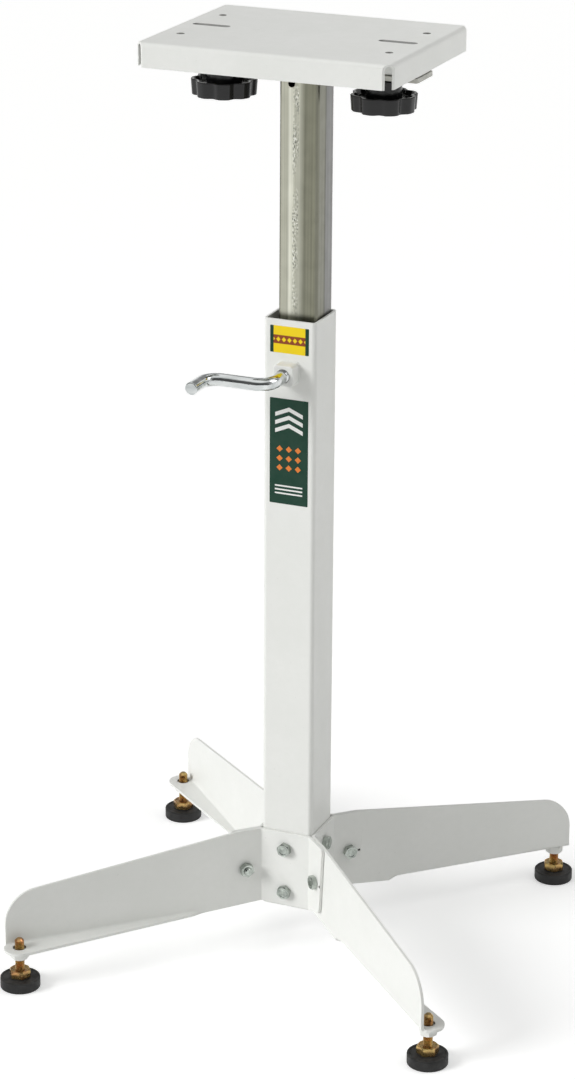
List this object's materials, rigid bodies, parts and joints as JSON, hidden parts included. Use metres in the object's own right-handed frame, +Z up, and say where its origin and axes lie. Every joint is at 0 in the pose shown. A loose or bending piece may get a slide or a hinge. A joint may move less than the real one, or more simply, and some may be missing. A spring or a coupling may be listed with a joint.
{
  "type": "bench grinder stand",
  "caption": "Height-adjustable pedestal stand for a bench grinder: square column on splayed sheet-metal legs with levelling feet, sliding post with crank lock and slotted tool table.",
  "frame": {"origin": "on the floor under the axis of the column, with the feet at their middle setting", "axes": "+Z up along the column, -Y to the front where the crank and the labels are, +X to the right of a person who faces the front"},
  "size_m": [0.482, 0.482, 0.9277],
  "materials": {
    "off_white_paint": "semi-gloss powder coat",
    "zinc_plate": "dull zinc plate with slide marks",
    "bright_zinc": "bright zinc plate",
    "chrome_plate": "bright plated",
    "yellow_zinc": "yellow passivated zinc",
    "pad_rubber": "moulded",
    "knob_plastic": "moulded satin",
    "upper_label": "printed film",
    "lower_label": "printed film"
  },
  "bodies": {
    "stand": {"column": "off_white_paint", "lock_nut": "off_white_paint", "label_upper": "upper_label", "label_lower": "lower_label", "leg_1": "off_white_paint", "leg_2": "off_white_paint", "leg_3": "off_white_paint", "leg_4": "off_white_paint", "column_bolt_1_lower": "bright_zinc", "column_nut_1_lower": "bright_zinc", "column_bolt_1_upper": "bright_zinc", "column_nut_1_upper": "bright_zinc", "column_bolt_2_lower": "bright_zinc", "column_nut_2_lower": "bright_zinc", "column_bolt_2_upper": "bright_zinc", "column_nut_2_upper": "bright_zinc", "column_bolt_3_lower": "bright_zinc", "column_nut_3_lower": "bright_zinc", "column_bolt_3_upper": "bright_zinc", "column_nut_3_upper": "bright_zinc", "column_bolt_4_lower": "bright_zinc", "column_nut_4_lower": "bright_zinc", "column_bolt_4_upper": "bright_zinc", "column_nut_4_upper": "bright_zinc", "tab_bolt_1": "bright_zinc", "tab_nut_1": "bright_zinc", "tab_bolt_2": "bright_zinc", "tab_nut_2": "bright_zinc", "tab_bolt_3": "bright_zinc", "tab_nut_3": "bright_zinc", "tab_bolt_4": "bright_zinc", "tab_nut_4": "bright_zinc", "foot_nut_1": "off_white_paint", "foot_nut_2": "off_white_paint", "foot_nut_3": "off_white_paint", "foot_nut_4": "off_white_paint"},
    "lift": {"post": "zinc_plate", "table_bar": "zinc_plate", "table_channel": "off_white_paint", "table": "off_white_paint", "knob_nut_left": "bright_zinc", "knob_nut_right": "bright_zinc"},
    "lock_shoe": {"lock_shoe": "zinc_plate"},
    "crank": {"crank": "chrome_plate"},
    "knob_washer_left": {"knob_washer_left": "bright_zinc"},
    "knob_left": {"knob_left": "knob_plastic", "knob_stud_left": "bright_zinc"},
    "knob_washer_right": {"knob_washer_right": "bright_zinc"},
    "knob_right": {"knob_right": "knob_plastic", "knob_stud_right": "bright_zinc"},
    "foot_pad_1": {"foot_pad_1": "pad_rubber"},
    "foot_stud_1": {"foot_stud_1": "yellow_zinc"},
    "foot_pad_2": {"foot_pad_2": "pad_rubber"},
    "foot_stud_2": {"foot_stud_2": "yellow_zinc"},
    "foot_pad_3": {"foot_pad_3": "pad_rubber"},
    "foot_stud_3": {"foot_stud_3": "yellow_zinc"},
    "foot_pad_4": {"foot_pad_4": "pad_rubber"},
    "foot_stud_4": {"foot_stud_4": "yellow_zinc"}
  },
  "joints": [
    {"name": "post_lift", "type": "slide", "parent": "stand", "child": "lift", "axis": [0, 0, 1], "range_m": [-0.226, 0.139]},
    {"name": "lock_press", "type": "slide", "parent": "stand", "child": "lock_shoe", "axis": [0, 1, 0], "range_m": [-0.00196, 0]},
    {"name": "crank_turn", "type": "hinge", "parent": "lock_shoe", "child": "crank", "pos_m": [0, -0.0254, 0.6069], "axis": [0, 1, 0], "range_deg": [-360, 0]},
    {"name": "knob_draw_left", "type": "slide", "parent": "lift", "child": "knob_washer_left", "axis": [0, 0, 1], "range_m": [-0.0048, 0]},
    {"name": "knob_turn_left", "type": "hinge", "parent": "knob_washer_left", "child": "knob_left", "pos_m": [-0.081, 0.00255, 0.8949], "axis": [0, 0, 1], "range_deg": [-1080, 0]},
    {"name": "knob_draw_right", "type": "slide", "parent": "lift", "child": "knob_washer_right", "axis": [0, 0, 1], "range_m": [-0.0048, 0]},
    {"name": "knob_turn_right", "type": "hinge", "parent": "knob_washer_right", "child": "knob_right", "pos_m": [0.081, 0.00255, 0.8949], "axis": [0, 0, 1], "range_deg": [-1080, 0]},
    {"name": "foot_level_1", "type": "slide", "parent": "stand", "child": "foot_pad_1", "axis": [0, 0, 1], "range_m": [-0.0099, 0.0099]},
    {"name": "foot_turn_1", "type": "hinge", "parent": "foot_pad_1", "child": "foot_stud_1", "pos_m": [-0.20315, -0.22111, 0.039], "axis": [0, 0, 1], "range_deg": [-2250, 2250]},
    {"name": "foot_level_2", "type": "slide", "parent": "stand", "child": "foot_pad_2", "axis": [0, 0, 1], "range_m": [-0.0099, 0.0099]},
    {"name": "foot_turn_2", "type": "hinge", "parent": "foot_pad_2", "child": "foot_stud_2", "pos_m": [0.22111, -0.20315, 0.039], "axis": [0, 0, 1], "range_deg": [-2250, 2250]},
    {"name": "foot_level_3", "type": "slide", "parent": "stand", "child": "foot_pad_3", "axis": [0, 0, 1], "range_m": [-0.0099, 0.0099]},
    {"name": "foot_turn_3", "type": "hinge", "parent": "foot_pad_3", "child": "foot_stud_3", "pos_m": [0.20315, 0.22111, 0.039], "axis": [0, 0, 1], "range_deg": [-2250, 2250]},
    {"name": "foot_level_4", "type": "slide", "parent": "stand", "child": "foot_pad_4", "axis": [0, 0, 1], "range_m": [-0.0099, 0.0099]},
    {"name": "foot_turn_4", "type": "hinge", "parent": "foot_pad_4", "child": "foot_stud_4", "pos_m": [-0.22111, 0.20315, 0.039], "axis": [0, 0, 1], "range_deg": [-2250, 2250]}
  ],
  "couplings": [
    {"joint": "lock_press", "follows": "crank_turn", "m_per_rad": 0.00031099},
    {"joint": "knob_draw_left", "follows": "knob_turn_left", "m_per_rad": 0.00025266},
    {"joint": "knob_draw_right", "follows": "knob_turn_right", "m_per_rad": 0.00025266},
    {"joint": "foot_turn_1", "follows": "foot_level_1", "rad_per_m": 3957.9},
    {"joint": "foot_turn_2", "follows": "foot_level_2", "rad_per_m": 3957.9},
    {"joint": "foot_turn_3", "follows": "foot_level_3", "rad_per_m": 3957.9},
    {"joint": "foot_turn_4", "follows": "foot_level_4", "rad_per_m": 3957.9}
  ]
}
